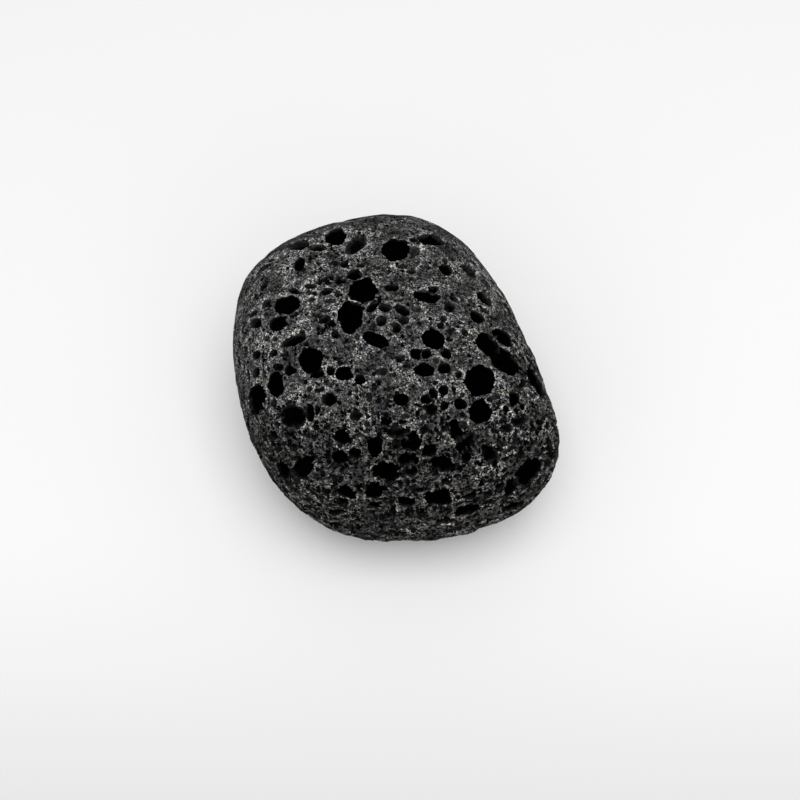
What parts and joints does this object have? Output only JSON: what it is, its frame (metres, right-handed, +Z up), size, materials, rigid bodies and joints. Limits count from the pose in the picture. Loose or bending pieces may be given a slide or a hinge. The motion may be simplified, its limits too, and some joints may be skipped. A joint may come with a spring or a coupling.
{
  "type": "lava rock",
  "caption": "Rounded block of tumbled vesicular lava, pitted all over with opened gas bubbles, standing on a small worn foot.",
  "frame": {"origin": "centre of the bounding box's bottom face, level with the surface that the stone stands on", "axes": "+Z up out of the foot, along the shortest extent; +Y from the show side to the back, along the longest extent; +X to the right, seen from the show side"},
  "size_m": [0.0354, 0.036, 0.0248],
  "materials": {
    "lava_rock": "rough, dull grey, finely grained"
  },
  "bodies": {
    "root": {"lava_rock": "lava_rock"}
  },
  "joints": []
}
